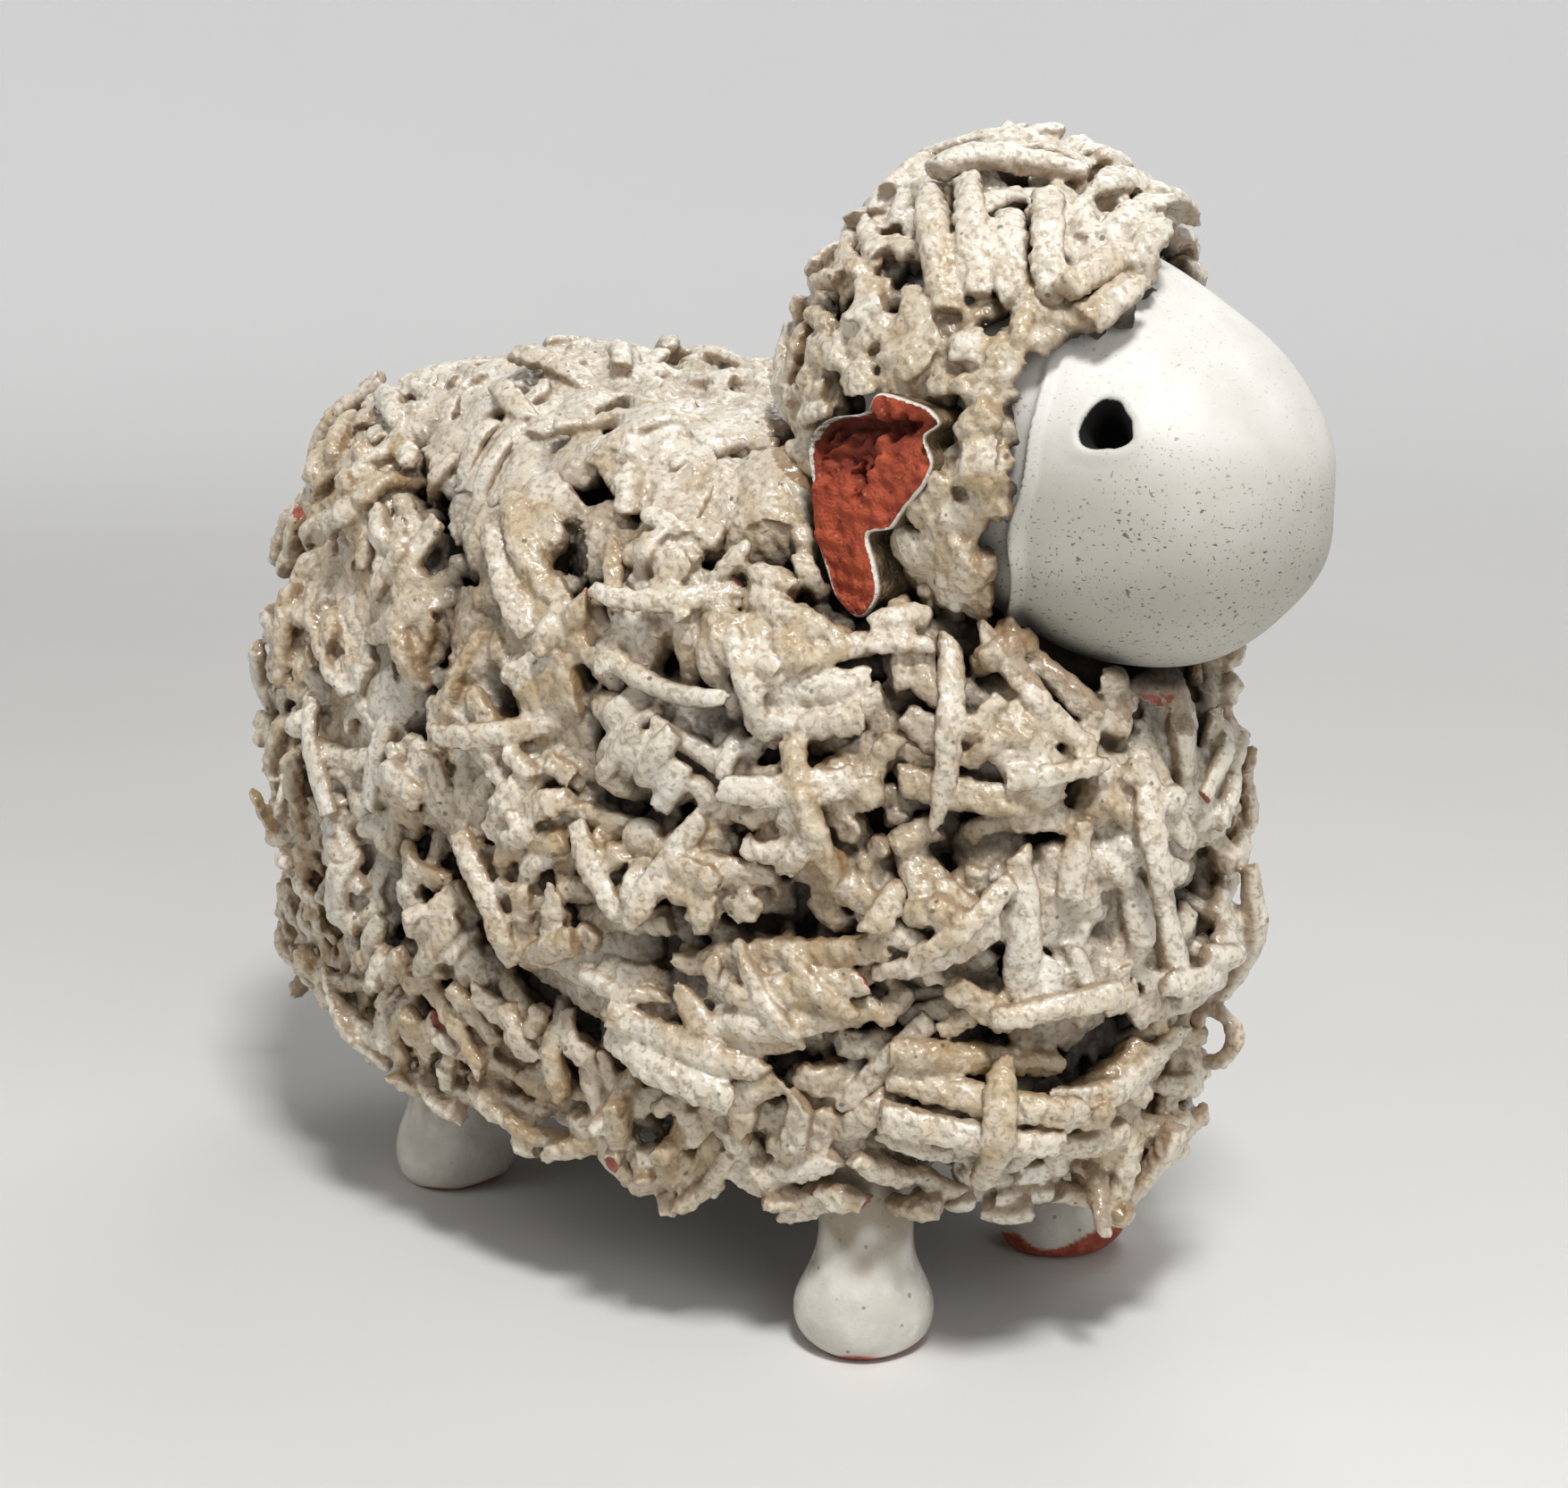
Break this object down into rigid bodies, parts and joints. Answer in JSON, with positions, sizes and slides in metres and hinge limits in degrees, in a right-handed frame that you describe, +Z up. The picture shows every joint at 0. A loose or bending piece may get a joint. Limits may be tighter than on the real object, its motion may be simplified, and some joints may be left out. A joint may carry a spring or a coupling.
{
  "type": "ceramic sheep figurine",
  "caption": "Hand-built earthenware sheep: shaggy cream-glazed fleece of pressed clay strands, smooth speckled face with pierced eyes, stub legs and a right ear broken off at its root.",
  "frame": {"origin": "middle of the footprint box, on the surface that the sheep stands on", "axes": "+X towards the nose, +Y towards the sheep's left side, +Z up"},
  "size_m": [0.1074, 0.0608, 0.0927],
  "materials": {
    "fleece_glaze": "semi-gloss off-white glaze, tan where thin",
    "body_slip": "tan clay wall with thin glaze between the strands",
    "face_glaze": "satin white-grey glaze with fine grey-brown specks",
    "foot_glaze": "glossy white glaze, red clay at the rim of the sole",
    "ear_glaze": "semi-gloss off-white glaze",
    "broken_clay": "rough bare red earthenware"
  },
  "bodies": {
    "root": {"body_shell": "body_slip", "ear_left": "ear_glaze", "ear_root_right": "broken_clay", "fringe_front": "fleece_glaze", "fringe_left": "fleece_glaze", "fringe_rear": "fleece_glaze", "fringe_right": "fleece_glaze", "head_shell": "face_glaze", "leg_front_left": "foot_glaze", "leg_front_right": "foot_glaze", "leg_rear_left": "foot_glaze", "leg_rear_right": "foot_glaze", "wool_back": "fleece_glaze", "wool_cheek_left": "fleece_glaze", "wool_cheek_right": "fleece_glaze", "wool_chest": "fleece_glaze", "wool_flank_left": "fleece_glaze", "wool_flank_right": "fleece_glaze", "wool_haunch_left": "fleece_glaze", "wool_haunch_right": "fleece_glaze", "wool_nape": "fleece_glaze", "wool_rump": "fleece_glaze", "wool_shoulder_left": "fleece_glaze", "wool_shoulder_right": "fleece_glaze", "wool_topknot": "fleece_glaze"}
  },
  "joints": []
}
